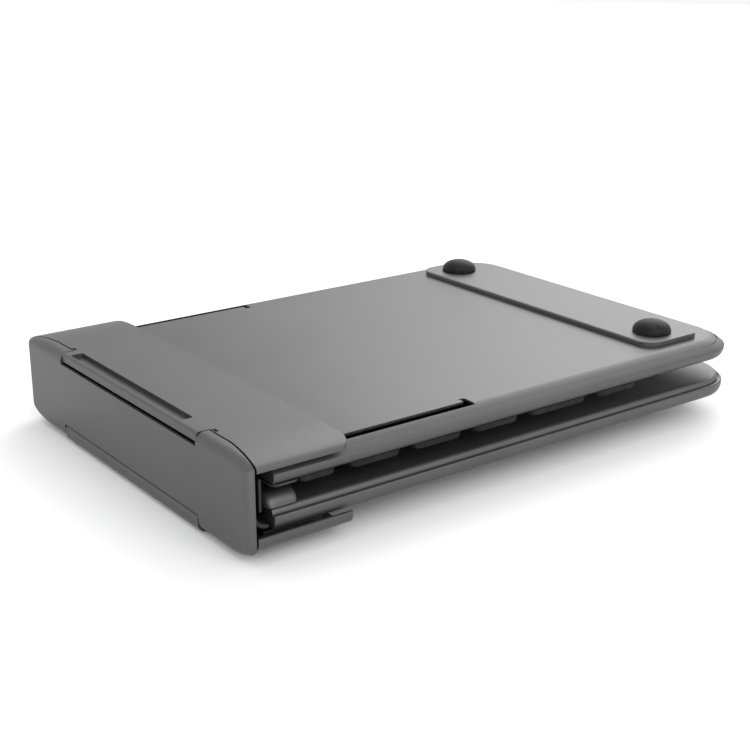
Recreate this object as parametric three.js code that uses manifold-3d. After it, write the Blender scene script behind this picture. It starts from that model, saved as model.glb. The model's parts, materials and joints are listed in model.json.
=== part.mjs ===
// Folding two-leaf laptop stand, shown folded.  Millimetres, +Z up.
// +X runs from the spine to the free ends of the leaves, Y runs along the hinges.
// The origin is under the middle of the folded stand, at its lowest point.
import * as THREE from 'three';
import { mergeVertices } from 'three/addons/utils/BufferGeometryUtils.js';
import Module from 'manifold-3d';

const wasm = await Module();
wasm.setup();

// ---------- driving dimensions ----------
const length = 307.8;            // spine face to free end
const halfWidth = 110;           // spine and covers, across Y
const boardHalf = 107.3;         // boards, across Y
const boardStart = 13.8;         // spine end of both boards
const boardThick = 9.5;
const boardCorner = 25.7;        // plan radius at the free end
const upperTop = 42.4;           // top face of the upper board
const lowerTop = upperTop - 20.3;
const gap = 0.3;                 // between pieces that touch

// board edges: a shell with an elliptical underside, and a cover panel with a rolled edge.
// seam is the inset of the joint between them and sunk its depth below the panel's face;
// knee and bend are where the tangents of the shell's and the panel's curves meet.
const edgeLow = { across: 2.8, down: 4.7 };
const upperRim = {
  seam: 3.9, sunk: 2, knee: 4.34, side: 4.79, clear: 0.08, lip: 2.4, bend: 3.3, across: 5, down: 2,
};
const lowerRim = {
  seam: 1.3, sunk: 2.8, knee: 2.8, side: 3.8, clear: 0.5, lip: 3.2, bend: 0.3, across: 3.2, down: 2.4,
};
const endRound = 1.2;             // soft cut ends of the boards
const panelThick = 1.2;
const panelHollow = 6.1;         // inset of the hollow under a panel
const panelFlare = 1.2;          // extra plan radius of a panel's corners
const ledge = 1.6;               // the panel's bearing inside the shell
const floorThick = 1.4;

// spine
const spineTop = upperTop + 4.3;
const spineBottom = upperTop - 40.8;
const spineWall = 1.6;
const spineRound = 4.5;
const rimDepth = 6.9;
const rimSweep = 3.7;            // how far the rim draws back towards the face at the corners
const topCorner = { across: 26, down: 3.5 };     // soft corners of the spine and covers, in YZ
const lowCorner = { across: 18, down: 7.5 };

// covers and their hinges
const coverStart = 7.85;
const coverEnd = 51.5;
const coverWall = 1.8;
const coverSide = 1.4;
const coverCorner = 9;           // of the top cover, in plan
const coverTurn = 3.5;           // of the bottom cover, in side view
const topPlane = spineTop;
const lowPlane = 3.2;            // outer face of the bottom cover
const drapeEnd = upperTop - 0.7; // free edge of the top cover's sides
const upturnEnd = lowerTop - boardThick + 0.1;
const tongueHalf = 66.5;
const notchHalf = 67.3;
const topNotch = upperTop - 1.4;
const lowNotch = upperTop - 33.3;
const recess = { x0: 2.8, x1: 9.3, y0: -50, y1: 61, deep: 2.1 };
const hingeX = 8.2;
const topHingeZ = topPlane - 1.2;
const lowHingeZ = lowPlane + 1.2;
const pinRadius = 0.6;
const pinHole = 0.68;
const pinFrom = 62.5;
const lugFrom = 67.7;
const lugThick = 3;
const slotIn = 96;
const slotOut = 100.6;
const slotStart = 15;
const slotEnd = 126.6;

// feet and pads
const stripStart = 249;
const stripEnd = 285;
const stripHalf = 94;
const stripHigh = 2.6;
const footX = 267;
const footY = 78.5;
const footRadius = 10.1;
const footHigh = 6.2;
const padHigh = 3.2;
const padWide = 8;
const padY = 101;
const padGap = 7.6;
const padStart = 28.6;
const padShort = 18.4;
const padLong = 27;
const padLongest = 36;

// ---------- materials ----------
function finish(color, roughness, metalness) {
  return new THREE.MeshStandardMaterial({ color, roughness, metalness });
}
const coated = finish(0x7c7d80, 0.42, 0.85);
const coatedDark = finish(0x1d1d1f, 0.5, 0.6);
const rubber = finish(0x161616, 0.8, 0.0);
const polymer = finish(0x202022, 0.55, 0.0);
const steel = finish(0x8f9092, 0.3, 1.0);

// ---------- solids ----------
function solid(geometry) {
  const g = geometry.index ? geometry.clone() : geometry;
  for (const name of Object.keys(g.attributes)) if (name !== 'position') g.deleteAttribute(name);
  const m = mergeVertices(g, 1e-4);
  return new wasm.Manifold(new wasm.Mesh({
    numProp: 3,
    vertProperties: new Float32Array(m.attributes.position.array),
    triVerts: new Uint32Array(m.index.array),
  }));
}

function geometryOf(body) {
  const m = body.getMesh();
  const g = new THREE.BufferGeometry();
  g.setAttribute('position', new THREE.BufferAttribute(new Float32Array(m.vertProperties), 3));
  g.setIndex(new THREE.BufferAttribute(new Uint32Array(m.triVerts), 1));
  return g;
}

const stand = new THREE.Group();
stand.position.set(-length / 2, 0, 0);

function add(name, body, material) {
  const geometry = body.isBufferGeometry ? body : geometryOf(body);
  const flat = geometry.index ? geometry.toNonIndexed() : geometry;
  flat.computeVertexNormals();
  const mesh = new THREE.Mesh(flat, material);
  mesh.name = name;
  stand.add(mesh);
}

function box(x0, x1, y0, y1, z0, z1) {
  const g = new THREE.BoxGeometry(x1 - x0, y1 - y0, z1 - z0);
  g.translate((x0 + x1) / 2, (y0 + y1) / 2, (z0 + z1) / 2);
  return solid(g);
}

// A closed outline in two axes, extruded along the third.
function prismZ(shape, z0, z1, curveSegments = 4) {
  const g = new THREE.ExtrudeGeometry(shape, { depth: z1 - z0, bevelEnabled: false, curveSegments });
  g.translate(0, 0, z0);
  return solid(g);
}
function prismX(shape, x0, x1) {          // outline points are (y, z)
  const g = new THREE.ExtrudeGeometry(shape, { depth: x1 - x0, bevelEnabled: false, curveSegments: 4 });
  g.rotateX(Math.PI / 2);
  g.rotateZ(Math.PI / 2);
  g.translate(x0, 0, 0);
  return solid(g);
}
function prismY(shape, y0, y1) {          // outline points are (x, z)
  const g = new THREE.ExtrudeGeometry(shape, { depth: y1 - y0, bevelEnabled: false, curveSegments: 8 });
  g.rotateX(Math.PI / 2);
  g.translate(0, y1, 0);
  return solid(g);
}
function rodY(x, z, radius, y0, y1, sides = 16) {
  const g = new THREE.CylinderGeometry(radius, radius, y1 - y0, sides);
  g.translate(x, (y0 + y1) / 2, z);
  return solid(g);
}

function roundedRect(x0, x1, y0, y1, r0, r1) {   // r0 at x0, r1 at x1
  const s = new THREE.Shape();
  s.moveTo(x0 + r0, y0);
  s.lineTo(x1 - r1, y0);
  s.absarc(x1 - r1, y0 + r1, r1, -Math.PI / 2, 0, false);
  s.absarc(x1 - r1, y1 - r1, r1, 0, Math.PI / 2, false);
  s.absarc(x0 + r0, y1 - r0, r0, Math.PI / 2, Math.PI, false);
  s.absarc(x0 + r0, y0 + r0, r0, Math.PI, Math.PI * 1.5, false);
  return s;
}

// ---------- boards ----------
// Rings of one rounded outline at several heights, joined into a closed skin.
function ring(inset, z, flare = 0) {
  const points = [];
  const cornerSteps = 8;
  const x0 = boardStart - 24;       // runs on past the cut end
  const x1 = length;
  const c = boardCorner + flare;
  const centres = [
    [x1 - c, -boardHalf + c, -Math.PI / 2],
    [x1 - c, boardHalf - c, 0],
    [x0 + c, boardHalf - c, Math.PI / 2],
    [x0 + c, -boardHalf + c, Math.PI],
  ];
  for (const [cx, cy, from] of centres) {
    for (let i = 0; i <= cornerSteps; i++) {
      const a = from + (Math.PI / 2) * (i / cornerSteps);
      const r = c - inset;
      points.push(new THREE.Vector3(cx + r * Math.cos(a), cy + r * Math.sin(a), z));
    }
  }
  return points;
}

function loft(rings) {
  const n = rings[0].length;
  const positions = rings.flat().flatMap((p) => [p.x, p.y, p.z]);
  const index = [];
  for (let k = 0; k + 1 < rings.length; k++) {
    for (let i = 0; i < n; i++) {
      const a = k * n + i;
      const b = k * n + ((i + 1) % n);
      index.push(a, b, b + n, a, b + n, a + n);
    }
  }
  const top = (rings.length - 1) * n;
  for (let i = 1; i + 1 < n; i++) {
    index.push(0, i + 1, i);
    index.push(top, top + i, top + i + 1);
  }
  const g = new THREE.BufferGeometry();
  g.setAttribute('position', new THREE.BufferAttribute(new Float32Array(positions), 3));
  g.setIndex(index);
  return solid(g);
}

// Points on a quadratic curve between two tangents.
function curve(from, middle, to) {
  const steps = 5;
  const points = [];
  for (let i = 0; i <= steps; i++) {
    const t = i / steps;
    const u = 1 - t;
    points.push([0, 1].map((k) => u * u * from[k] + 2 * u * t * middle[k] + t * t * to[k]));
  }
  return points;
}

// What stays of a board at its cut end: rounded in plan and in side view.
function softEnd(top) {
  const side = new THREE.Shape();         // (x, z)
  const low = top - boardThick;
  side.moveTo(length + 1, low);
  side.lineTo(boardStart + endRound, low);
  side.absarc(boardStart + endRound, low + endRound, endRound, -Math.PI / 2, -Math.PI, true);
  side.absarc(boardStart + endRound, top - endRound, endRound, Math.PI, Math.PI / 2, true);
  side.lineTo(length + 1, top);
  const plan = roundedRect(boardStart, length + 5, -boardHalf, boardHalf, endRound, 1);
  return prismY(side, -boardHalf - 1, boardHalf + 1).intersect(prismZ(plan, low - 1, top + 1));
}

function boardBody(top, rim) {
  const rings = [];
  const steps = 5;
  for (let i = 0; i <= steps; i++) {
    const a = (Math.PI / 2) * (i / steps);
    rings.push(ring(edgeLow.across * (1 - Math.sin(a)), top - boardThick + edgeLow.down * (1 - Math.cos(a))));
  }
  for (const [inset, deep] of curve([0, rim.side], [0, rim.knee], [rim.seam, rim.sunk])) {
    rings.push(ring(inset, top - deep));
  }
  return loft(rings).intersect(softEnd(top));
}

// A tray with a ledge for its cover panel, open at the top.
function boardShell(top, rim) {
  const bed = [ring(rim.seam, top - rim.lip - gap), ring(rim.seam, top + 1)];
  const inset = rim.seam + ledge;
  const pocket = [ring(inset, top - boardThick + floorThick), ring(inset, top + 1)];
  const inside = box(boardStart + 1.6, length, -120, 120, 0, 60);
  return boardBody(top, rim).subtract(loft(bed)).subtract(loft(pocket).intersect(inside));
}

// A cover panel with a rolled edge, hollow below.
function boardPanel(top, rim) {
  const inset = rim.seam + rim.clear;
  const rings = [ring(inset, top - rim.lip, panelFlare)];
  for (const [more, deep] of curve([0, rim.down], [rim.bend, 0], [rim.across, 0])) {
    rings.push(ring(inset + more, top - deep, panelFlare));
  }
  const under = [top - rim.lip - 1, top - panelThick].map((z) => ring(panelHollow, z, panelFlare));
  const hollow = loft(under).intersect(box(boardStart + 2, length, -120, 120, 0, 60));
  return loft(rings).intersect(softEnd(top)).subtract(hollow);
}

function slotCut(side) {
  const s = new THREE.Shape();
  const notchFrom = slotEnd - 3.2;
  const notchIn = slotIn - 3.4;
  s.moveTo(slotStart, side * slotIn);
  s.lineTo(notchFrom, side * slotIn);
  s.lineTo(notchFrom, side * notchIn);
  s.lineTo(slotEnd, side * notchIn);
  s.lineTo(slotEnd, side * slotOut);
  s.lineTo(slotStart, side * slotOut);
  return prismZ(s, upperTop - 5, upperTop + 5);
}

function stiffeners(prefix, top) {
  const low = top - boardThick + floorThick + gap;
  const high = top - panelThick - gap;
  [-60, 0, 60].forEach((y, i) => {
    const web = new THREE.Shape();      // a hat section, (y, z)
    web.moveTo(y - 9, low);
    web.lineTo(y - 3.2, low);
    web.lineTo(y - 3.2, high - 1);
    web.lineTo(y + 3.2, high - 1);
    web.lineTo(y + 3.2, low);
    web.lineTo(y + 9, low);
    web.lineTo(y + 9, low + 1);
    web.lineTo(y + 4.2, low + 1);
    web.lineTo(y + 4.2, high);
    web.lineTo(y - 4.2, high);
    web.lineTo(y - 4.2, low + 1);
    web.lineTo(y - 9, low + 1);
    add(`${prefix}_stiffener_${i + 1}`, prismX(web, 30, 290), coatedDark);
  });
}

// A bar section seen from the spine, (y, z), with its free corners rounded.
function roundedEnds(half, base, face, radius) {
  const s = new THREE.Shape();
  s.moveTo(-half, base);
  s.quadraticCurveTo(-half, face, -half + radius, face);
  s.lineTo(half - radius, face);
  s.quadraticCurveTo(half, face, half, base);
  return s;
}

function upperBoard() {
  add('upper_board_shell', boardShell(upperTop, upperRim), coated);
  add('upper_board_panel', boardPanel(upperTop, upperRim).subtract(slotCut(1)).subtract(slotCut(-1)), coated);
  stiffeners('upper_board', upperTop);
  const under = upperTop - boardThick - gap;
  const rail = new THREE.Shape();         // (x, z)
  rail.moveTo(boardStart + 0.2, under);
  rail.lineTo(boardStart + 0.2, under - 1.2);
  rail.quadraticCurveTo(boardStart + 0.6, under - 2.4, boardStart + 3, under - 2.4);
  rail.lineTo(boardStart + 12, under - 2.4);
  rail.quadraticCurveTo(boardStart + 13.7, under - 2.4, boardStart + 13.7, under);
  const end = roundedEnds(boardHalf - 1.3, under, under - 2.4, 5);
  add('upper_end_rail', prismY(rail, -boardHalf, boardHalf).intersect(prismX(end, 0, 40)), coated);
}

function lowerBoard() {
  add('lower_board_shell', boardShell(lowerTop, lowerRim), coated);
  add('lower_board_panel', boardPanel(lowerTop, lowerRim), coated);
  stiffeners('lower_board', lowerTop);
  const over = lowerTop + gap;
  const rail = new THREE.Shape();         // (x, z)
  rail.moveTo(boardStart + 13.7, over);
  rail.lineTo(boardStart + 13.7, over + 2.3);
  rail.quadraticCurveTo(boardStart + 13.7, over + 5.3, boardStart + 11, over + 5.3);
  rail.lineTo(boardStart + 1.6, over + 5.3);
  rail.quadraticCurveTo(boardStart - 2.2, over + 5.2, boardStart - 2.3, over + 2.4);
  rail.lineTo(boardStart - 2.3, over);
  const end = roundedEnds(boardHalf - 2, over, over + 5.3, 5.2);
  add('lower_end_rail', prismY(rail, -boardHalf, boardHalf).intersect(prismX(end, 0, 40)), coated);
}

function footStrip() {
  const base = upperTop + 0.05;
  const top = upperTop + stripHigh;
  const side = new THREE.Shape();         // (x, z)
  side.moveTo(stripStart, base);
  side.lineTo(stripEnd, base);
  side.lineTo(stripEnd, top - 0.6);
  side.lineTo(stripEnd - 0.6, top);
  side.lineTo(stripStart + 1.2, top);
  side.lineTo(stripStart, top - 0.9);
  const plan = roundedRect(stripStart - 1, stripEnd, -stripHalf, stripHalf, 9, 3);
  const bar = prismY(side, -stripHalf, stripHalf).intersect(prismZ(plan, upperTop, upperTop + 9));
  add('foot_strip', bar, coated);
}

function feet() {
  const profile = [new THREE.Vector2(0, 0), new THREE.Vector2(footRadius, 0), new THREE.Vector2(footRadius, 1)];
  const steps = 6;
  for (let i = 1; i < steps; i++) {
    const a = (Math.PI / 2) * (i / steps);
    profile.push(new THREE.Vector2(footRadius * Math.cos(a), 1 + (footHigh - 1) * Math.sin(a)));
  }
  profile.push(new THREE.Vector2(0, footHigh));
  for (const [side, y] of [['near', -footY], ['far', footY]]) {
    const g = new THREE.LatheGeometry(profile, 24);
    g.rotateX(Math.PI / 2);
    g.translate(footX, y, upperTop + stripHigh + gap);
    add(`rubber_foot_${side}`, solid(g), rubber);
  }
}

function padRow(side, sign) {
  const top = upperTop - boardThick - gap;
  const lengths = [padShort, padLong, padLong, padLong, padLongest, padLong];
  let x = padStart;
  lengths.forEach((long, index) => {
    const i = index + 1;
    const r = padWide / 2;
    const y = sign * padY;
    const oval = roundedRect(x, x + long, y - r, y + r, r, r);
    const face = roundedRect(x + 0.7, x + long - 0.7, y - r + 0.7, y + r - 0.7, r - 0.7, r - 0.7);
    const pad = prismZ(oval, top - padHigh + 0.8, top, 3).add(prismZ(face, top - padHigh, top - 1, 3));
    add(`rubber_pad_${side}_${i}`, pad, rubber);
    x += long + padGap;
  });
}

// ---------- spine ----------
// The outline of the spine seen from its face, shrunk by an inset, as a ring at x.
function softRing(inset, x) {
  const points = [];
  const steps = 8;
  const corners = [[1, -1, lowCorner], [1, 1, topCorner], [-1, 1, topCorner], [-1, -1, lowCorner]];
  corners.forEach(([side, up, corner], k) => {
    const a = corner.across - inset;
    const b = corner.down * (1 - 0.124 * inset);
    const y = side * (halfWidth - corner.across);
    const z = up > 0 ? spineTop - inset - b : spineBottom + inset + b;
    for (let i = 0; i <= steps; i++) {
      const t = (Math.PI / 2) * (k - 1 + i / steps);
      points.push(new THREE.Vector3(x, y + a * Math.cos(t), z + b * Math.sin(t)));
    }
  });
  return points;
}

// Everything behind a line that is straight in the middle and swept forward at the corners, in plan.
function behindEdge(x, back) {
  const steps = 8;
  const flat = halfWidth - topCorner.across;
  const edge = [];
  for (let i = 0; i <= steps; i++) {
    const t = i / steps;
    edge.push([x - rimSweep * t ** 1.2, flat + t * topCorner.across]);
  }
  edge.push([x - rimSweep, halfWidth + 5]);
  const s = new THREE.Shape();
  s.moveTo(back, -halfWidth - 5);
  for (const [px, py] of edge.slice().reverse()) s.lineTo(px, -py);
  for (const [px, py] of edge) s.lineTo(px, py);
  s.lineTo(back, halfWidth + 5);
  return prismZ(s, -5, 60);
}

function endPanel() {
  // a shallow pan with a rounded edge
  const outer = [];
  const inner = [];
  const steps = 6;
  const turn = spineRound - spineWall;
  for (let i = 0; i <= steps; i++) {
    const a = (Math.PI / 2) * (i / steps);
    outer.push(softRing(spineRound * (1 - Math.sin(a)), spineRound * (1 - Math.cos(a))));
    inner.push(softRing(spineRound - turn * Math.sin(a), spineWall + turn * (1 - Math.cos(a))));
  }
  outer.push(softRing(0, rimDepth));
  inner.push(softRing(spineWall, rimDepth + 1));
  let body = loft(outer).subtract(loft(inner)).subtract(behindEdge(rimDepth, rimDepth + 10));
  // notches that the two hinge tongues bend over
  body = body.subtract(box(-1, 9, -notchHalf, notchHalf, topNotch, spineTop + 1));
  body = body.subtract(box(-1, 9, -notchHalf, notchHalf, spineBottom - 1, lowNotch));
  body = body.subtract(rodY(hingeX, topHingeZ, 8.15, -notchHalf, notchHalf, 48));
  body = body.subtract(rodY(hingeX, lowHingeZ, 9, -notchHalf, notchHalf, 48));
  add('end_panel', body, coated);
}

const screwSpots = [[-88, upperTop - 9], [88, upperTop - 9], [-88, upperTop - 15], [88, upperTop - 15]];

function screwHole(y, z, radius, x0, x1) {
  const g = new THREE.CylinderGeometry(radius, radius, x1 - x0, 12);
  g.rotateZ(Math.PI / 2);
  g.translate((x0 + x1) / 2, y, z);
  return solid(g);
}

function spineInside() {
  // liner: a J section that turns under the end of the lower board
  const j = new THREE.Shape();            // (x, z)
  const top = upperTop - 5.6;
  const toe = upperTop - 27.3;
  j.moveTo(2.9, top);
  j.lineTo(2.9, toe + 8);
  j.quadraticCurveTo(3.2, toe + 0.4, 10.8, toe);
  j.lineTo(10.8, toe + 1.5);
  j.quadraticCurveTo(4.9, toe + 2.2, 4.5, toe + 8);
  j.lineTo(4.5, top);
  let liner = prismY(j, -boardHalf + 0.5, boardHalf - 0.5);
  let plate = box(7.4, 8.6, -boardHalf + 2, boardHalf - 2, upperTop - 20, upperTop - 5.6);
  for (const [y, z] of screwSpots) {
    liner = liner.subtract(screwHole(y, z, 1.5, 2, 6));
    plate = plate.subtract(screwHole(y, z, 1.5, 6, 10));
  }
  add('spine_liner', liner, coatedDark);
  add('spine_plate', plate, coatedDark);
  screwSpots.forEach(([y, z], i) => {
    const profile = [[0, 0], [1.2, 0], [1.2, 7], [2.3, 7], [2.3, 7.8], [1.6, 8.4], [0, 8.4]];
    const g = new THREE.LatheGeometry(profile.map(([r, h]) => new THREE.Vector2(r, h)), 14);
    g.rotateZ(-Math.PI / 2);
    g.translate(1.9, y, z);
    add(`spine_screw_${i + 1}`, solid(g), steel);
  });
}

// A lug beside each end of each tongue, and the pin that it holds.
function hinge(prefix, z, up, reach) {
  for (const [side, s] of [['near', -1], ['far', 1]]) {
    const y0 = Math.min(s * lugFrom, s * (lugFrom + lugThick));
    const arm = new THREE.Shape();
    arm.moveTo(hingeX - 1.1, z);
    arm.absarc(hingeX, z, 1.1, Math.PI, 0, up > 0);
    arm.lineTo(hingeX + 1.1, z - up * 4);
    arm.lineTo(7.1, z - up * (reach - 3));
    arm.lineTo(7.1, z - up * reach);
    arm.lineTo(5.1, z - up * reach);
    arm.lineTo(5.1, z - up * 4);
    arm.lineTo(hingeX - 1.1, z - up * 2.6);
    const lug = prismY(arm, y0, y0 + lugThick).subtract(rodY(hingeX, z, pinHole, y0 - 1, y0 + lugThick + 1));
    add(`${prefix}_hinge_lug_${side}`, lug, coatedDark);
    const from = Math.min(s * pinFrom, s * (lugFrom + lugThick + 0.1));
    const to = Math.max(s * pinFrom, s * (lugFrom + lugThick + 0.1));
    add(`${prefix}_hinge_pin_${side}`, rodY(hingeX, z, pinRadius, from, to), steel);
  }
}

// ---------- covers ----------
function coverSkin(up, plane, edge, corner) {      // (y, z), open towards the boards
  const s = new THREE.Shape();
  const y = halfWidth - corner.across;
  const centre = plane - up * corner.down;
  const steps = 9;
  const arc = (a, b) => {
    const points = [[y + a, edge]];
    for (let i = 0; i <= steps; i++) {
      const t = (Math.PI / 2) * (i / steps);
      points.push([y + a * Math.cos(t), centre + up * b * Math.sin(t)]);
    }
    return points;
  };
  const outer = arc(corner.across, corner.down);
  const inner = arc(corner.across - coverSide, corner.down - coverWall);
  const mirror = (points) => points.map(([py, pz]) => [-py, pz]);
  const path = [...mirror(outer), ...outer.slice().reverse(), ...inner, ...mirror(inner).reverse()];
  path.forEach(([py, pz], i) => (i ? s.lineTo(py, pz) : s.moveTo(py, pz)));
  return s;
}

function lugNotches(z) {
  const pad = 0.35;
  return [-1, 1].map((s) => {
    const a = s * (lugFrom - pad);
    const b = s * (lugFrom + lugThick + pad);
    return box(coverStart - 2, hingeX + 1.5, Math.min(a, b), Math.max(a, b), z - 4, z + 4);
  });
}

function finishCover(skin, tongue, z, corner) {
  const round = roundedRect(0, coverEnd, -halfWidth - 1, halfWidth + 1, 0.5, corner);
  let body = skin.intersect(prismZ(round, -5, 60)).intersect(behindEdge(coverStart, coverEnd + 5)).add(tongue);
  for (const cut of lugNotches(z)) body = body.subtract(cut);
  body = body.subtract(rodY(hingeX, z, pinHole, -lugFrom, -pinFrom + 0.4));
  return body.subtract(rodY(hingeX, z, pinHole, pinFrom - 0.4, lugFrom));
}

function topCover() {
  const t = new THREE.Shape();            // tongue and hinge rib, (x, z)
  const rib = topPlane - 3.4;
  const tip = upperTop - 0.4;
  t.moveTo(13, topPlane);
  t.absarc(2.5, topPlane - 1.4, 1.4, Math.PI / 2, Math.PI, false);
  t.lineTo(1.1, tip + 0.4);
  t.lineTo(1.5, tip);
  t.lineTo(recess.x0, tip);
  t.lineTo(recess.x0, rib);
  t.lineTo(9.9, rib);
  t.lineTo(11.2, topPlane - coverWall);
  t.lineTo(13, topPlane - coverWall);
  const skin = prismX(coverSkin(1, topPlane, drapeEnd, topCorner), 2, coverEnd + 1);
  const pocket = prismZ(roundedRect(recess.x0, recess.x1, recess.y0, recess.y1, 1.2, 1.2),
    topPlane - recess.deep, topPlane + 1);
  const cover = finishCover(skin, prismY(t, -tongueHalf, tongueHalf), topHingeZ, coverCorner);
  add('top_cover', cover.subtract(pocket), coated);
}

function bottomCover() {
  const t = new THREE.Shape();            // tongue, (x, z), stepping down to a bar
  const bend = 4.4;
  const tip = upperTop - 34;
  const round = 1.5;
  t.moveTo(13, lowPlane);
  t.lineTo(9.2, lowPlane);
  t.lineTo(6.4, 0);
  t.absarc(bend, bend, bend, -Math.PI / 2, -Math.PI, true);
  t.absarc(round, tip - round, round, Math.PI, Math.PI / 2, true);
  t.lineTo(coverWall + 0.2, tip);
  t.absarc(bend, bend, bend - coverWall, Math.PI, Math.PI * 1.5, false);
  t.lineTo(5.4, coverWall);
  t.lineTo(6.9, lowHingeZ + 1.2);
  t.lineTo(9.4, lowHingeZ + 1.2);
  t.lineTo(10.4, lowPlane + coverWall);
  t.lineTo(13, lowPlane + coverWall);
  const side = new THREE.Shape();         // (x, z)
  side.moveTo(0, lowPlane);
  side.lineTo(coverEnd - coverTurn, lowPlane);
  side.absarc(coverEnd - coverTurn, lowPlane + coverTurn, coverTurn, -Math.PI / 2, 0, false);
  side.lineTo(coverEnd, upturnEnd + 1);
  side.lineTo(0, upturnEnd + 1);
  const skin = prismX(coverSkin(-1, lowPlane, upturnEnd, lowCorner), 2, coverEnd + 1)
    .intersect(prismY(side, -halfWidth - 1, halfWidth + 1));
  add('bottom_cover', finishCover(skin, prismY(t, -tongueHalf, tongueHalf), lowHingeZ, 2), coated);
}

// Hooks under the top cover run in the board's slots; glides keep it off the panel.
function guides() {
  for (const [side, s] of [['near', -1], ['far', 1]]) {
    const hook = new THREE.Shape();       // (y, z)
    const under = topPlane - coverWall - gap;
    const head = upperTop - panelThick - gap;
    hook.moveTo(s * 90, under);
    hook.lineTo(s * 90, under - 1.2);
    hook.lineTo(s * (slotIn + 0.4), under - 1.2);
    hook.lineTo(s * (slotIn + 0.4), head);
    hook.lineTo(s * 93.4, head);
    hook.lineTo(s * 93.4, head - 1.4);
    hook.lineTo(s * (slotOut - 0.4), head - 1.4);
    hook.lineTo(s * (slotOut - 0.4), under - 1.2);
    hook.lineTo(s * 99, under - 0.6);
    hook.lineTo(s * 95, under - 0.15);
    add(`slide_hook_${side}`, prismX(hook, 46, 50), steel);
    const glide = roundedRect(16, 44, Math.min(s * 72, s * 86), Math.max(s * 72, s * 86), 3, 3);
    add(`slide_glide_${side}`, prismZ(glide, upperTop + gap, under), polymer);
  }
}

// Brackets that carry the lower board on the bottom cover.
function carriers() {
  const low = lowPlane + coverWall + gap;
  const high = lowerTop - boardThick - gap;
  for (const [side, s] of [['near', -1], ['far', 1]]) {
    const y = s * 78;
    const hat = new THREE.Shape();        // (y, z)
    hat.moveTo(y - 16, low);
    hat.lineTo(y - 6.5, low);
    hat.lineTo(y - 6.5, high - 1.6);
    hat.lineTo(y + 6.5, high - 1.6);
    hat.lineTo(y + 6.5, low);
    hat.lineTo(y + 16, low);
    hat.lineTo(y + 16, low + 1.6);
    hat.lineTo(y + 8.5, low + 1.6);
    hat.lineTo(y + 8.5, high);
    hat.lineTo(y - 8.5, high);
    hat.lineTo(y - 8.5, low + 1.6);
    hat.lineTo(y - 16, low + 1.6);
    add(`lower_carrier_${side}`, prismX(hat, 16, 46), steel);
  }
}

endPanel();
spineInside();
hinge('top', topHingeZ, 1, 12);
hinge('bottom', lowHingeZ, -1, 9);
topCover();
guides();
upperBoard();
footStrip();
feet();
padRow('near', -1);
padRow('far', 1);
bottomCover();
carriers();
lowerBoard();

export default stand;
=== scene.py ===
# Folding two-leaf laptop stand: the visual model and its studio.
# Metres, in the CAD frame: +X from the spine to the free ends, +Y along the hinges, +Z up.
import bmesh
import bpy
import json
from math import cos, pi, radians, sin
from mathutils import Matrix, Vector


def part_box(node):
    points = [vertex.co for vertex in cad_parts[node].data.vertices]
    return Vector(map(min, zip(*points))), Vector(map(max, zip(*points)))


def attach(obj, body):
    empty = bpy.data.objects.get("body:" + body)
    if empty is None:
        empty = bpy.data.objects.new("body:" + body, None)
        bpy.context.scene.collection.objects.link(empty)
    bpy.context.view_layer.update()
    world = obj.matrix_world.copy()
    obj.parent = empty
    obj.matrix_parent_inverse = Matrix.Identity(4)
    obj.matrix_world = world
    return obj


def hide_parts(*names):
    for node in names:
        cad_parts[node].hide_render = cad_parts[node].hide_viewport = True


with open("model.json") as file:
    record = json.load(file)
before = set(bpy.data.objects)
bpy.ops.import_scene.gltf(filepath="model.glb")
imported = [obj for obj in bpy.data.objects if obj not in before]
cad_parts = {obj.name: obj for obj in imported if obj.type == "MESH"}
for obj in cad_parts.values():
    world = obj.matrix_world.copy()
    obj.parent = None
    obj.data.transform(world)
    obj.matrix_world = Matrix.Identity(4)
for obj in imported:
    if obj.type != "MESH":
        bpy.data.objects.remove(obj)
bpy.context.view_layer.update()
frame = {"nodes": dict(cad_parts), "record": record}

MM = 0.001
FINE = 0.25 * MM          # the round on a piece's edges where no other is given


# ---------- mesh tools ----------
def new_object(name, mesh):
    piece = bpy.data.objects.new(name, mesh)
    bpy.context.scene.collection.objects.link(piece)
    return piece


def from_bmesh(name, bm):
    bmesh.ops.recalc_face_normals(bm, faces=bm.faces)
    mesh = bpy.data.meshes.new(name)
    bm.to_mesh(mesh)
    bm.free()
    return new_object(name, mesh)


def prism(name, axis, outline, low, high):
    """A closed outline in the two other axes, in cyclic order, run from low to high along axis."""
    place = {"x": lambda u, v, w: (w, u, v),
             "y": lambda u, v, w: (u, w, v),
             "z": lambda u, v, w: (u, v, w)}[axis]
    bm = bmesh.new()
    ends = [[bm.verts.new(place(u, v, w)) for u, v in outline] for w in (low, high)]
    for end in ends:
        bm.faces.new(end)
    count = len(outline)
    for i in range(count):
        j = (i + 1) % count
        bm.faces.new((ends[0][i], ends[0][j], ends[1][j], ends[1][i]))
    return from_bmesh(name, bm)


def loft(name, rings):
    """A closed skin through rings of the same number of points, capped at both ends."""
    bm = bmesh.new()
    rows = [[bm.verts.new(p) for p in ring] for ring in rings]
    count = len(rows[0])
    for lower, upper in zip(rows, rows[1:]):
        for i in range(count):
            j = (i + 1) % count
            bm.faces.new((lower[i], lower[j], upper[j], upper[i]))
    bm.faces.new(rows[0])
    bm.faces.new(rows[-1])
    return from_bmesh(name, bm)


def block(name, low, high):
    outline = [(low[0], low[1]), (high[0], low[1]), (high[0], high[1]), (low[0], high[1])]
    return prism(name, "z", outline, low[2], high[2])


def settle(piece):
    """Applies the piece's modifiers to its mesh."""
    graph = bpy.context.evaluated_depsgraph_get()
    mesh = bpy.data.meshes.new_from_object(piece.evaluated_get(graph))
    piece.modifiers.clear()
    piece.data = mesh
    return piece


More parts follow.
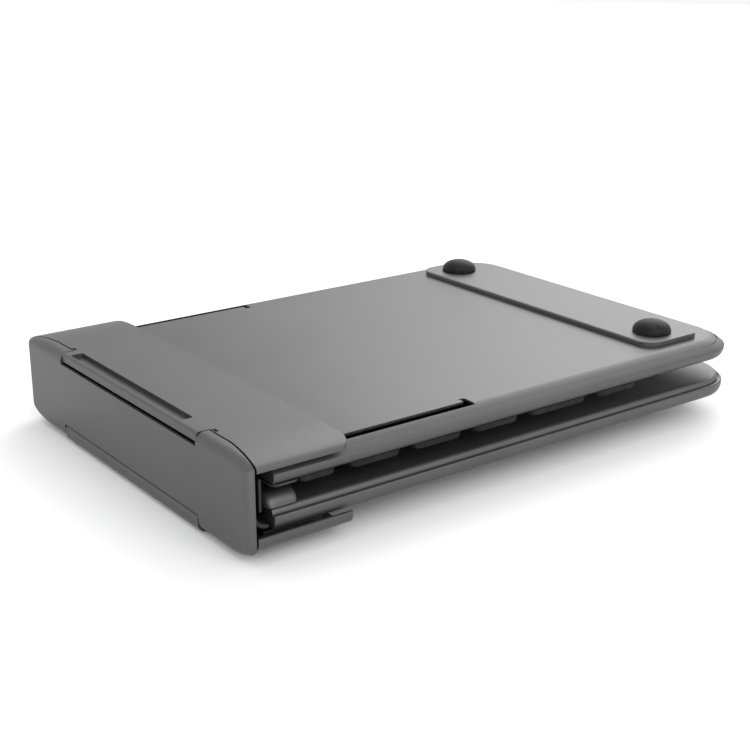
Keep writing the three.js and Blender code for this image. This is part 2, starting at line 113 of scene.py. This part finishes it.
def combine(piece, other, operation):
    step = piece.modifiers.new(operation, "BOOLEAN")
    step.operation = operation
    step.solver = "EXACT"
    step.object = other
    settle(piece)
    bpy.data.objects.remove(other)
    return piece


def cut(piece, other):
    return combine(piece, other, "DIFFERENCE")


def join(piece, other):
    return combine(piece, other, "UNION")


def keep_inside(piece, other):
    return combine(piece, other, "INTERSECT")


def smooth(piece):
    for face in piece.data.polygons:
        face.use_smooth = True


def soften(piece, width=FINE, segments=2):
    """Welds stray points, merges faces in one plane and rounds edges that turn by more than 32 degrees."""
    bm = bmesh.new()
    bm.from_mesh(piece.data)
    bmesh.ops.remove_doubles(bm, verts=bm.verts, dist=0.001 * MM)
    bmesh.ops.dissolve_limit(bm, angle_limit=radians(0.4), verts=bm.verts, edges=bm.edges)
    bm.to_mesh(piece.data)
    bm.free()
    smooth(piece)
    step = piece.modifiers.new("round", "BEVEL")
    step.width = width
    step.segments = segments
    step.limit_method = "ANGLE"
    step.angle_limit = radians(32)
    step.use_clamp_overlap = True
    step.harden_normals = True
    return settle(piece)


def shade(piece, angle):
    """Shades smooth, with a crease wherever the surface turns by more than angle, in degrees."""
    smooth(piece)
    piece.data.set_sharp_from_angle(angle=radians(angle))
    return piece


# ---------- outlines ----------
def arc(cx, cy, rx, ry, start, end, steps):
    """Points of an elliptical arc, in degrees, both ends included."""
    turn = [radians(start + (end - start) * i / steps) for i in range(steps + 1)]
    return [(cx + rx * cos(t), cy + ry * sin(t)) for t in turn]


def rounded(x0, x1, y0, y1, near, far, steps=10):
    """A rectangle with one corner radius at x0 and another at x1."""
    return (arc(x1 - far, y0 + far, far, far, -90, 0, steps)
            + arc(x1 - far, y1 - far, far, far, 0, 90, steps)
            + arc(x0 + near, y1 - near, near, near, 90, 180, steps)
            + arc(x0 + near, y0 + near, near, near, 180, 270, steps))


def quarter(steps):
    """The angles of a quarter turn, both ends included."""
    return [radians(90 * i / steps) for i in range(steps + 1)]


def curve(start, middle, end, steps=10):
    """Points in metres on a quadratic curve from start to end, drawn towards middle, all given in mm."""
    points = []
    for i in range(steps + 1):
        t = i / steps
        point = [(1 - t) ** 2 * a + 2 * (1 - t) * t * b + t * t * c for a, b, c in zip(start, middle, end)]
        points.append([value * MM for value in point])
    return points


# ---------- materials ----------
def node(tree, kind, **values):
    made = tree.nodes.new(kind)
    for key, value in values.items():
        if key in made.inputs:
            made.inputs[key].default_value = value
        else:
            setattr(made, key, value)
    return made


def blank_material(name):
    """A new material, its tree, its shader and the socket that gives a place on the object."""
    material = bpy.data.materials.new(name)
    material.use_nodes = True
    tree = material.node_tree
    place = node(tree, "ShaderNodeTexCoord")
    return material, tree, tree.nodes["Principled BSDF"], place.outputs["Object"]


def noise(tree, place, scale, detail):
    made = node(tree, "ShaderNodeTexNoise", Scale=scale, Detail=detail)
    tree.links.new(place, made.inputs["Vector"])
    return made.outputs["Fac"]


def tint(tree, source, shader, low, high, start=0.0, end=1.0):
    """Runs the colour from low to high while source runs from start to end."""
    tone = node(tree, "ShaderNodeValToRGB")
    for element, position, colour in zip(tone.color_ramp.elements, (start, end), (low, high)):
        element.position = position
        element.color = (*colour, 1)
    tree.links.new(source, tone.inputs["Fac"])
    tree.links.new(tone.outputs["Color"], shader.inputs["Base Color"])


def roughen(tree, source, shader, low, high):
    rough = node(tree, "ShaderNodeMapRange")
    rough.inputs["To Min"].default_value = low
    rough.inputs["To Max"].default_value = high
    tree.links.new(source, rough.inputs["Value"])
    tree.links.new(rough.outputs["Result"], shader.inputs["Roughness"])


def emboss(tree, source, shader, strength, distance):
    lift = node(tree, "ShaderNodeBump", Strength=strength, Distance=distance)
    tree.links.new(source, lift.inputs["Height"])
    tree.links.new(lift.outputs["Normal"], shader.inputs["Normal"])


def metal_material(name, low, high, roughness, metallic):
    """Satin metal: a fine blasted grain and faint cloudiness."""
    material, tree, shader, place = blank_material(name)
    shader.inputs["Metallic"].default_value = metallic
    cloud = noise(tree, place, 22.0, 3.0)
    speck = noise(tree, place, 4200.0, 2.0)
    mix = node(tree, "ShaderNodeMix", data_type="FLOAT")
    mix.inputs[0].default_value = 0.45
    tree.links.new(cloud, mix.inputs[2])
    tree.links.new(speck, mix.inputs[3])
    tint(tree, mix.outputs[0], shader, low, high, 0.35, 0.65)
    roughen(tree, mix.outputs[0], shader, roughness - 0.04, roughness + 0.05)
    emboss(tree, speck, shader, 0.30, 0.04 * MM)
    return material


def brushed_material(name, low, high, roughness):
    """Rolled steel with fine lines along Y."""
    material, tree, shader, place = blank_material(name)
    shader.inputs["Metallic"].default_value = 1.0
    stretch = node(tree, "ShaderNodeMapping")
    stretch.inputs["Scale"].default_value = (1.0, 0.02, 1.0)
    tree.links.new(place, stretch.inputs["Vector"])
    lines = noise(tree, stretch.outputs["Vector"], 3500.0, 2.0)
    tint(tree, lines, shader, low, high)
    roughen(tree, lines, shader, roughness - 0.06, roughness + 0.06)
    emboss(tree, lines, shader, 0.25, 0.03 * MM)
    return material


def rubber_material(name, low, high, roughness, grain):
    """Moulded rubber or plastic: a fine texture and a little dust in its tone."""
    material, tree, shader, place = blank_material(name)
    shader.inputs["Specular IOR Level"].default_value = 0.12
    speck = noise(tree, place, grain, 3.0)
    dust = noise(tree, place, 160.0, 4.0)
    tint(tree, dust, shader, low, high, 0.4, 0.75)
    roughen(tree, dust, shader, roughness - 0.06, roughness + 0.08)
    emboss(tree, speck, shader, 0.35, 0.06 * MM)
    return material


MATERIALS = {
    "coated_metal": metal_material("satin_grey_metal", (0.098, 0.098, 0.100), (0.116, 0.116, 0.118),
                                   0.46, 0.8),
    "dark_metal": metal_material("dark_grey_metal", (0.012, 0.012, 0.012), (0.018, 0.018, 0.018), 0.5, 0.3),
    "steel": brushed_material("brushed_steel", (0.22, 0.22, 0.23), (0.34, 0.34, 0.35), 0.36),
    "rubber": rubber_material("black_rubber", (0.010, 0.010, 0.011), (0.022, 0.022, 0.023), 0.5, 2600.0),
    "polymer": rubber_material("black_polymer", (0.018, 0.018, 0.020), (0.030, 0.030, 0.032), 0.42, 1800.0),
}


def dress(piece, slot, body, *nodes):
    """Gives a finished piece its material and its body, and hides the CAD nodes that it stands for."""
    piece.data.materials.clear()
    piece.data.materials.append(MATERIALS[slot])
    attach(piece, body)
    if nodes:
        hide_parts(*nodes)
    return piece


# ---------- sizes of the spine and covers ----------
panel_low, panel_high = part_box("end_panel")
cover_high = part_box("top_cover")[1]
under_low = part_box("bottom_cover")[0]
SPINE_X = panel_low.x
HALF = panel_high.y
BOARD_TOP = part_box("upper_board_panel")[1].z
TOP_CORNER = (26 * MM, 3.5 * MM)    # the soft corners of the spine and covers, across and down
LOW_CORNER = (18 * MM, 7.5 * MM)
SPINE_EDGE = 4.5 * MM               # the round between the spine's face and its sides
WALL = 1.6 * MM
SKIN = 1.8 * MM
SIDE = 1.4 * MM
RIM_SWEEP = 3.7 * MM
COVER_START = 7.85 * MM             # along X from the spine's face
COVER_END = 51.5 * MM
TOP_PLAN_CORNER = 9 * MM            # the corners of the covers' free ends, in plan
LOW_PLAN_CORNER = 2 * MM
LOW_TURN = 3.5 * MM                 # the bottom cover's free end, in side view
TONGUE_ROOT = SPINE_X + 13 * MM
HINGE_X = SPINE_X + 8.2 * MM
HINGE_DEPTH = 1.2 * MM              # below a cover's face
TOP_HINGE = cover_high.z - HINGE_DEPTH
LOW_PLANE = under_low.z + 3.2 * MM
LOW_HINGE = LOW_PLANE + HINGE_DEPTH
TOP_SWING = 8.15 * MM               # the room that a turning tongue needs around its hinge
LOW_SWING = 9 * MM
NOTCH = 67.3 * MM                   # half the width of the spine's notches
TOP_NOTCH_FLOOR = BOARD_TOP - 1.4 * MM
LOW_NOTCH_ROOF = BOARD_TOP - 33.3 * MM
TONGUE = 66.5 * MM                  # half the width of a tongue
LUG_ROOM = (67.35 * MM, 71.05 * MM)     # distances from the middle plane
PIN_ROOM = (62.1 * MM, 68 * MM)
PIN_HOLE = 0.68 * MM
RECESS_X = (2.8 * MM, 9.3 * MM)     # the long recess in the top cover, from the spine's face
RECESS_Y = (-50 * MM, 61 * MM)
RECESS_CORNER = 1.2 * MM
RECESS_DEPTH = 2.1 * MM


# ---------- boards ----------
BOARD_CORNER = 25.7 * MM
EDGE_LOW = (2.8 * MM, 4.7 * MM)     # the round between a shell's floor and its side, across and up
OVERRUN = 24 * MM                   # the boards' outline runs on past their cut spine end
FLARE = 1.2 * MM                    # extra plan radius of a panel's corners
LEDGE = 1.6 * MM                    # the shell's shelf under the panel's edge
FLOOR = 1.4 * MM                    # thickness of the shell's floor
GAP = 0.3 * MM                      # between the shelf and the panel's edge
PLATE = 1.2 * MM                    # thickness of a panel
HOLLOW = 6.1 * MM                   # from a board's outline to the hollow under its panel
END_ROUND = 1.2 * MM
SHELL_END = 1.6 * MM                # what the hollow leaves of a shell's and a panel's cut end
PANEL_END = 2 * MM
SLOT_START = SPINE_X + 15 * MM
SLOT_END = SPINE_X + 126.6 * MM
SLOT = (96 * MM, 100.6 * MM)        # the slide slots, distance from the middle plane
SLOT_NOTCH = (3.2 * MM, 3.4 * MM)
# joint between shell and panel, in mm: its inset and depth, then the curves on both sides of it
UPPER_RIM = {"seam": 3.9, "sunk": 2.0, "knee": 4.34, "side": 4.79, "clear": 0.08,
             "lip": 2.4, "bend": 3.3, "across": 5.0, "down": 2.0}
LOWER_RIM = {"seam": 1.3, "sunk": 2.8, "knee": 2.8, "side": 3.8, "clear": 0.5,
             "lip": 3.2, "bend": 0.3, "across": 3.2, "down": 2.4}


def board_ring(low, high, inset, z, flare=0.0):
    """A board's outline at height z, shrunk by inset."""
    radius = BOARD_CORNER + flare - inset
    start = low.x - OVERRUN + inset
    outline = rounded(start, high.x - inset, low.y + inset, high.y - inset, radius, radius, 16)
    return [(x, y, z) for x, y in outline]


def soft_end(piece, low, high, top):
    """Trims a board's skin at its cut end, rounded in plan and in side view."""
    r = END_ROUND
    side = ([(high.x + MM, low.z)] + arc(low.x + r, low.z + r, r, r, 270, 180, 8)
            + arc(low.x + r, top - r, r, r, 180, 90, 8) + [(high.x + MM, top)])
    keep_inside(piece, prism("side_view", "y", side, low.y - MM, high.y + MM))
    plan = rounded(low.x, high.x + 5 * MM, low.y, high.y, r, MM, 8)
    keep_inside(piece, prism("plan_view", "z", plan, low.z - MM, top + MM))


def board_shell(name, body, panel, rim):
    """The tray of a board: a bullnose rim, a bed for the cover panel and a pocket below it."""
    low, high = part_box(name)
    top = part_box(panel)[1].z
    rings = [board_ring(low, high, EDGE_LOW[0] * (1 - sin(t)), low.z + EDGE_LOW[1] * (1 - cos(t)))
             for t in quarter(9)]
    rings += [board_ring(low, high, inset, top - deep)
              for inset, deep in curve((0, rim["side"]), (0, rim["knee"]), (rim["seam"], rim["sunk"]))]
    piece = loft(name + "_skin", rings)
    soft_end(piece, low, high, top)
    inset = rim["seam"] * MM
    cut(piece, loft("bed", [board_ring(low, high, inset, top - rim["lip"] * MM - GAP),
                            board_ring(low, high, inset, top + MM)]))
    pocket = loft("pocket", [board_ring(low, high, inset + LEDGE, low.z + FLOOR),
                             board_ring(low, high, inset + LEDGE, top + MM)])
    keep_inside(pocket, block("inside", (low.x + SHELL_END, low.y, low.z), (high.x, high.y, top + 2 * MM)))
    cut(piece, pocket)
    dress(soften(piece, 0.15 * MM), "coated_metal", body, name)


def board_panel(name, body, shell, rim, slots):
    """A cover panel: a thin plate whose edge rolls down to the shell."""
    low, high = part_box(shell)
    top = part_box(name)[1].z
    inset = (rim["seam"] + rim["clear"]) * MM
    lip = top - rim["lip"] * MM
    rings = [board_ring(low, high, inset, lip, FLARE)]
    rings += [board_ring(low, high, inset + more, top - deep, FLARE)
              for more, deep in curve((0, rim["down"]), (rim["bend"], 0), (rim["across"], 0))]
    piece = loft(name + "_plate", rings)
    soft_end(piece, low, high, top)
    hollow = loft("hollow", [board_ring(low, high, HOLLOW, lip - MM, FLARE),
                             board_ring(low, high, HOLLOW, top - PLATE, FLARE)])
    keep_inside(hollow, block("inside", (low.x + PANEL_END, low.y, lip - 2 * MM), (high.x, high.y, top + MM)))
    cut(piece, hollow)
    if slots:
        step = SLOT_END - SLOT_NOTCH[0]
        for side in (-1, 1):
            inner = side * SLOT[0]
            outer = side * SLOT[1]
            deep = side * (SLOT[0] - SLOT_NOTCH[1])
            shape = [(SLOT_START, inner), (step, inner), (step, deep), (SLOT_END, deep), (SLOT_END, outer),
                     (SLOT_START, outer)]
            cut(piece, prism("slot", "z", shape, lip - MM, top + MM))
    dress(soften(piece, 0.15 * MM), "coated_metal", body, name)


# ---------- end rails ----------
RAIL_TIP = 0.12                     # what is left of a rail's height at its very end
RAIL_NARROWING = 0.35               # how far its width follows its height


def end_rail(name, body, outline, round_by):
    """A rail across a board's end.  Its ends shrink to a soft round."""
    low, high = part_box(name)
    base = low.z if name.startswith("lower") else high.z
    centre = (low.x + high.x) / 2
    rings = []
    stations = [(low.y + round_by * (1 - cos(t)), max(sin(t), RAIL_TIP)) for t in quarter(8)]
    for y, scale in stations + [(low.y + high.y - y, scale) for y, scale in reversed(stations)]:
        across = 1 - (1 - scale) * RAIL_NARROWING
        rings.append([(centre + (x - centre) * across, y, base + (z - base) * scale)
                      for x, z in outline(low, high)])
    piece = loft(name + "_moulding", rings)
    dress(shade(piece, 40), "coated_metal", body, name)


def upper_rail_outline(low, high):
    tall = high.z - low.z
    return (arc(low.x + 3 * MM, high.z, 3 * MM, tall, 180, 270, 8)
            + arc(high.x - 1.8 * MM, high.z, 1.8 * MM, tall, 270, 360, 12))


def lower_rail_outline(low, high):
    tall = high.z - low.z
    front = arc(low.x + 3.9 * MM, high.z - 2.9 * MM, 3.9 * MM, 2.9 * MM, 180, 90, 10)
    back = arc(high.x - 2.7 * MM, high.z - 3 * MM, 2.7 * MM, 3 * MM, 90, 0, 10)
    return [(low.x, low.z)] + front + back + [(high.x, low.z)]


# ---------- foot strip, feet and pads ----------
def foot_strip():
    """A flat strip across the upper board, which carries the two feet."""
    name = "foot_strip"
    low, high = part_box(name)
    side = ([(low.x, low.z), (high.x, low.z)]
            + arc(high.x - 0.6 * MM, high.z - 0.6 * MM, 0.6 * MM, 0.6 * MM, 0, 90, 5)
            + arc(low.x + 1.2 * MM, high.z - 0.9 * MM, 1.2 * MM, 0.9 * MM, 90, 180, 8))
    piece = prism(name + "_plate", "y", side, low.y, high.y)
    plan = rounded(low.x, high.x, low.y, high.y, 9 * MM, 3 * MM, 10)
    keep_inside(piece, prism("plan", "z", plan, low.z - MM, high.z + MM))
    dress(soften(piece, 0.4 * MM, 3), "coated_metal", "upper_board", name)


def rubber_foot(name):
    """A low dome on a short collar, with a fine moulding line where they meet."""
    low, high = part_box(name)
    centre = (low + high) / 2
    radius = (high.x - low.x) / 2
    collar = 1.0 * MM
    profile = [(0.0, 0.0), (radius - 0.5 * MM, 0.0), (radius - 0.12 * MM, 0.12 * MM), (radius, 0.4 * MM),
               (radius, collar - 0.25 * MM), (radius - 0.18 * MM, collar - 0.08 * MM),
               (radius - 0.3 * MM, collar)]
    rise = high.z - low.z - collar
    dome = radius - 0.2 * MM
    profile += [(dome * cos(radians(a)), collar + rise * sin(radians(a))) for a in range(6, 90, 6)]
    profile.append((0.0, high.z - low.z))
    bm = bmesh.new()
    path = [bm.verts.new((centre.x + r, centre.y, low.z + h)) for r, h in profile]
    edges = [bm.edges.new(pair) for pair in zip(path, path[1:])]
    bmesh.ops.spin(bm, geom=path + edges, cent=(centre.x, centre.y, 0), axis=(0, 0, 1),
                   angle=2 * pi, steps=72, use_merge=True)
    bmesh.ops.remove_doubles(bm, verts=bm.verts, dist=1e-7)
    piece = from_bmesh(name + "_dome", bm)
    dress(shade(piece, 50), "rubber", "upper_board", name)


def rubber_pad(name):
    """A stadium-shaped pad with a rolled lower edge."""
    low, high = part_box(name)
    radius = (high.y - low.y) / 2
    rings = [[(x, y, high.z) for x, y in rounded(low.x, high.x, low.y, high.y, radius, radius)]]
    roll = 1.3 * MM
    for t in quarter(6):
        inset = roll * (1 - cos(t))
        z = low.z + roll * (1 - sin(t))
        corner = radius - inset
        outline = rounded(low.x + inset, high.x - inset, low.y + inset, high.y - inset, corner, corner)
        rings.append([(x, y, z) for x, y in outline])
    dress(shade(loft(name + "_oval", rings), 50), "rubber", "upper_board", name)


# ---------- spine ----------
def soft_ring(inset, x, steps=14):
    """The spine's outline seen from its face, shrunk by inset, at x.  Its corners flatten as it shrinks."""
    points = []
    corners = ((1, -1, LOW_CORNER), (1, 1, TOP_CORNER), (-1, 1, TOP_CORNER), (-1, -1, LOW_CORNER))
    for turn, (side, up, corner) in enumerate(corners):
        tall = corner[1] * (1 - 0.124 * inset / MM)
        z = panel_high.z - inset - tall if up > 0 else panel_low.z + inset + tall
        wide = corner[0] - inset
        points += arc(side * (HALF - corner[0]), z, wide, tall, 90 * (turn - 1), 90 * turn, steps)
    return [(x, y, z) for y, z in points]


def behind_edge(x, back):
    """What lies behind a line that is straight in the middle and swept towards the spine at the corners."""
    flat = HALF - TOP_CORNER[0]
    steps = 14
    edge = [(x - RIM_SWEEP * (i / steps) ** 1.2, flat + TOP_CORNER[0] * i / steps) for i in range(steps + 1)]
    edge.append((x - RIM_SWEEP, HALF + 5 * MM))
    mirrored = [(u, -v) for u, v in reversed(edge)]
    outline = [(back, -HALF - 5 * MM)] + mirrored + edge + [(back, HALF + 5 * MM)]
    return prism("behind_edge", "z", outline, under_low.z - 5 * MM, cover_high.z + 5 * MM)


def end_panel():
    """A shallow pressed pan that joins the leaves: rounded edges, notches for both hinge tongues."""
    name = "end_panel"
    turn = SPINE_EDGE - WALL
    back = panel_high.x
    rings = [soft_ring(SPINE_EDGE * (1 - sin(t)), SPINE_X + SPINE_EDGE * (1 - cos(t))) for t in quarter(12)]
    rings += [soft_ring(0, back), soft_ring(WALL, back)]
    rings += [soft_ring(SPINE_EDGE - turn * sin(t), SPINE_X + WALL + turn * (1 - cos(t)))
              for t in reversed(quarter(8))]
    piece = loft(name + "_pressing", rings)
    cut(piece, behind_edge(back, back + 10 * MM))
    for floor, roof in ((TOP_NOTCH_FLOOR, panel_high.z + MM), (panel_low.z - MM, LOW_NOTCH_ROOF)):
        cut(piece, block("notch", (SPINE_X - MM, -NOTCH, floor), (back + 2 * MM, NOTCH, roof)))
    for z, radius in ((TOP_HINGE, TOP_SWING), (LOW_HINGE, LOW_SWING)):
        circle = arc(HINGE_X, z, radius, radius, 0, 357.5, 143)
        cut(piece, prism("swing", "y", circle, -NOTCH, NOTCH))
    dress(soften(piece, 0.3 * MM, 3), "coated_metal", "spine", name)


def spine_liner():
    """A dark sheet that stands inside the spine, with its foot bent inwards."""
    name = "spine_liner"
    low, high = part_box(name)
    bend = 8 * MM
    outer = arc(low.x + bend, low.z + bend, bend, bend, 180, 270, 14)
    inner = arc(low.x + bend, low.z + bend + 0.1 * MM, bend - WALL, bend - WALL, 270, 180, 14)
    outline = [(low.x, high.z)] + outer + inner + [(low.x + WALL, high.z)]
    piece = prism(name + "_section", "y", outline, low.y, high.y)
    dress(soften(piece), "dark_metal", "spine", name)


# ---------- covers ----------
def cover_section(up, plane, edge, corner, steps=16):
    """Outline in Y and Z of a cover: flat, with soft sides that end at edge."""
    y = HALF - corner[0]
    centre = plane - up * corner[1]

    def side(rx, rz):
        return [(y + rx, edge)] + arc(y, centre, rx, up * rz, 0, 90, steps)

    outer = side(corner[0], corner[1])
    inner = side(corner[0] - SIDE, corner[1] - SKIN)
    left = [(-u, v) for u, v in outer]
    left_inner = [(-u, v) for u, v in inner]
    return left + outer[::-1] + inner + left_inner[::-1]


def cover(name, body, up, plane, edge, corner, tongue):
    """A bent sheet with soft sides, a tongue over the spine and room for the lugs and pins of its hinge."""
    low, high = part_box(name)
    start = SPINE_X + COVER_START
    end = SPINE_X + COVER_END
    hinge = plane - up * HINGE_DEPTH
    piece = prism(name + "_skin", "x", cover_section(up, plane, edge, corner), SPINE_X + 2 * MM, end + MM)
    plan_corner = TOP_PLAN_CORNER if up > 0 else LOW_PLAN_CORNER
    plan = rounded(SPINE_X, end, low.y - MM, high.y + MM, 0.5 * MM, plan_corner, 12)
    keep_inside(piece, prism("plan", "z", plan, low.z - 9 * MM, high.z + 9 * MM))
    if up < 0:
        side_view = ([(SPINE_X, plane)]
                     + arc(end - LOW_TURN, plane + LOW_TURN, LOW_TURN, LOW_TURN, -90, 0, 10)
                     + [(end, edge + MM), (SPINE_X, edge + MM)])
        keep_inside(piece, prism("side_view", "y", side_view, low.y - MM, high.y + MM))
    keep_inside(piece, behind_edge(start, end + 5 * MM))
    join(piece, prism("tongue", "y", tongue, -TONGUE, TONGUE))
    if up > 0:
        pocket = rounded(SPINE_X + RECESS_X[0], SPINE_X + RECESS_X[1], RECESS_Y[0], RECESS_Y[1],
                         RECESS_CORNER, RECESS_CORNER, 5)
        cut(piece, prism("recess", "z", pocket, plane - RECESS_DEPTH, plane + MM))
    for side in (-1, 1):
        near, far = sorted((side * LUG_ROOM[0], side * LUG_ROOM[1]))
        cut(piece, block("lug", (start - 2 * MM, near, hinge - 4 * MM),
                         (HINGE_X + 1.5 * MM, far, hinge + 4 * MM)))
        near, far = sorted((side * PIN_ROOM[0], side * PIN_ROOM[1]))
        cut(piece, prism("pin_hole", "y", arc(HINGE_X, hinge, PIN_HOLE, PIN_HOLE, 0, 345, 23), near, far))
    dress(soften(piece, 0.25 * MM, 3), "coated_metal", body, name)


def top_tongue():
    """A flat tongue that turns down over the spine, and the hinge rib under it."""
    top = cover_high.z
    turn = 1.4 * MM
    face = SPINE_X + 1.1 * MM
    back = SPINE_X + 2.8 * MM
    tip = BOARD_TOP - 0.4 * MM
    rib = top - 3.4 * MM
    return ([(TONGUE_ROOT, top)] + arc(face + turn, top - turn, turn, turn, 90, 180, 10)
            + [(face, tip + 0.4 * MM), (face + 0.4 * MM, tip), (back, tip), (back, rib),
               (SPINE_X + 9.9 * MM, rib), (SPINE_X + 11.2 * MM, top - SKIN), (TONGUE_ROOT, top - SKIN)])


def low_tongue():
    """The lower tongue steps down to a bar that stands proud of the spine's lower edge."""
    floor = under_low.z
    bend = 4.4 * MM
    turn = 1.5 * MM
    tip = BOARD_TOP - 34 * MM
    rib = LOW_HINGE + 1.2 * MM
    centre = SPINE_X + bend
    return ([(TONGUE_ROOT, LOW_PLANE), (SPINE_X + 9.2 * MM, LOW_PLANE), (SPINE_X + 6.4 * MM, floor)]
            + arc(centre, floor + bend, bend, bend, 270, 180, 14)
            + arc(SPINE_X + turn, tip - turn, turn, turn, 180, 90, 6) + [(SPINE_X + 2.0 * MM, tip)]
            + arc(centre, floor + bend, bend - SKIN, bend - SKIN, 180, 270, 10)
            + [(SPINE_X + 5.4 * MM, floor + SKIN), (SPINE_X + 6.9 * MM, rib), (SPINE_X + 9.4 * MM, rib),
               (SPINE_X + 10.4 * MM, LOW_PLANE + SKIN), (TONGUE_ROOT, LOW_PLANE + SKIN)])


# ---------- camera ----------
CAMERA_AZIMUTH = radians(36.616)     # from +Y towards +X
CAMERA_FALL = radians(19.129)
CAMERA_DISTANCE = 0.7199
CAMERA_AIM = Vector((-0.0060, 0.0045, 0.0222))
CAMERA_LENS = 65.56                  # mm on a 36 mm sensor


def camera():
    data = bpy.data.cameras.new("camera")
    data.sensor_width = 36
    data.lens = CAMERA_LENS
    data.clip_start = 0.02
    data.clip_end = 30
    made = bpy.data.objects.new("camera", data)
    bpy.context.scene.collection.objects.link(made)
    forward = Vector((sin(CAMERA_AZIMUTH) * cos(CAMERA_FALL), cos(CAMERA_AZIMUTH) * cos(CAMERA_FALL),
                      -sin(CAMERA_FALL)))
    made.location = CAMERA_AIM - forward * CAMERA_DISTANCE
    made.rotation_mode = "QUATERNION"
    made.rotation_quaternion = forward.to_track_quat("-Z", "Y")
    bpy.context.scene.camera = made


# ---------- studio ----------
def studio():
    size = 14.0
    floor = block("studio_floor", (-size, -size, -0.02), (size, size, -0.0002))
    paper = bpy.data.materials.new("pale_floor")
    paper.use_nodes = True
    shader = paper.node_tree.nodes["Principled BSDF"]
    shader.inputs["Base Color"].default_value = (0.92, 0.92, 0.92, 1)
    shader.inputs["Roughness"].default_value = 0.9
    shader.inputs["Specular IOR Level"].default_value = 0.1
    floor.data.materials.append(paper)
    world = bpy.data.worlds.new("studio_world")
    world.use_nodes = True
    background = world.node_tree.nodes["Background"]
    background.inputs["Color"].default_value = (1, 1, 1, 1)
    background.inputs["Strength"].default_value = 1.0
    bpy.context.scene.world = world
    bpy.context.scene.view_settings.view_transform = "Standard"
    lamp("key_light", (1.9, 1.2, 1.5), 2.2, 34)
    lamp("fill_light", (0.1, -1.9, 1.3), 1.6, 16)
    lamp("edge_light", (-1.5, -1.1, 0.4), 0.8, 5)


def lamp(name, place, size, power):
    data = bpy.data.lights.new(name, "AREA")
    data.shape = "DISK"
    data.size = size
    data.energy = power
    made = bpy.data.objects.new(name, data)
    bpy.context.scene.collection.objects.link(made)
    made.location = place
    made.rotation_mode = "QUATERNION"
    made.rotation_quaternion = (-Vector(place)).to_track_quat("-Z", "Y")


# ---------- build ----------
camera()
studio()
end_panel()
spine_liner()
cover("top_cover", "top_leaf", 1, cover_high.z, BOARD_TOP - 0.7 * MM, TOP_CORNER, top_tongue())
cover("bottom_cover", "lower_leaf", -1, LOW_PLANE, BOARD_TOP - 29.7 * MM, LOW_CORNER, low_tongue())
board_shell("upper_board_shell", "upper_board", "upper_board_panel", UPPER_RIM)
board_shell("lower_board_shell", "lower_leaf", "lower_board_panel", LOWER_RIM)
board_panel("upper_board_panel", "upper_board", "upper_board_shell", UPPER_RIM, True)
board_panel("lower_board_panel", "lower_leaf", "lower_board_shell", LOWER_RIM, False)
end_rail("upper_end_rail", "upper_board", upper_rail_outline, 5 * MM)
end_rail("lower_end_rail", "lower_leaf", lower_rail_outline, 6 * MM)
foot_strip()
for node_name in frame["nodes"]:
    if node_name.startswith("rubber_foot"):
        rubber_foot(node_name)
    elif node_name.startswith("rubber_pad"):
        rubber_pad(node_name)

# the CAD pieces that stay in view get the material of their own slot
SLOT_OF = {part["node"]: part["material_slot"] for part in frame["record"]["subparts"]}
for node_name, part in frame["nodes"].items():
    if not part.hide_render:
        part.data.materials.clear()
        part.data.materials.append(MATERIALS[SLOT_OF[node_name]])
